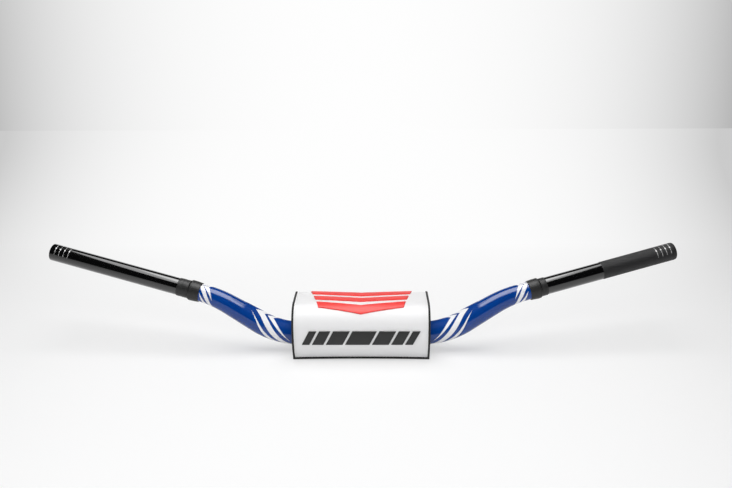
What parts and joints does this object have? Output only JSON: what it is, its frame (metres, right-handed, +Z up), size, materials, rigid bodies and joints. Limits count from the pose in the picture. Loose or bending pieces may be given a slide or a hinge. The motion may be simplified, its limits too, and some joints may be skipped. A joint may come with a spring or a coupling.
{
  "type": "motocross handlebar",
  "caption": "Braceless motocross handlebar: swept, swaged aluminium tube with rubber collars, blue film on the bends and a white foam bar pad over the clamp zone.",
  "frame": {"origin": "middle of the clamp zone, on the tube's centreline", "axes": "+X along the bar to the knurled end, +Y back towards the rider, +Z up"},
  "size_m": [0.8054, 0.1064, 0.1272],
  "materials": {
    "bar_black": "gloss black, rough knurl at one end",
    "collar_rubber": "matte",
    "graphic_blue": "printed gloss film, royal blue with white slanted stripes",
    "foam_black": "closed-cell foam",
    "cover_white": "satin coated sheet",
    "panel_black": "satin coated sheet",
    "trim_black": "folded tape",
    "hook_black": "hook tape",
    "loop_black": "loop tape",
    "motif_red": "raised satin moulding",
    "motif_black": "raised satin moulding"
  },
  "bodies": {
    "root": {"bar_tube": "bar_black", "collar_left": "collar_rubber", "collar_right": "collar_rubber", "graphic_left": "graphic_blue", "graphic_right": "graphic_blue", "pad_foam": "foam_black", "pad_cover": "cover_white", "end_panel_left": "panel_black", "end_panel_right": "panel_black", "piping_left": "trim_black", "piping_right": "trim_black", "binding_front": "trim_black", "binding_rear": "trim_black", "closure_flap_hook": "hook_black", "closure_flap_loop": "loop_black", "top_motif": "motif_red", "front_motif": "motif_black"}
  },
  "joints": []
}
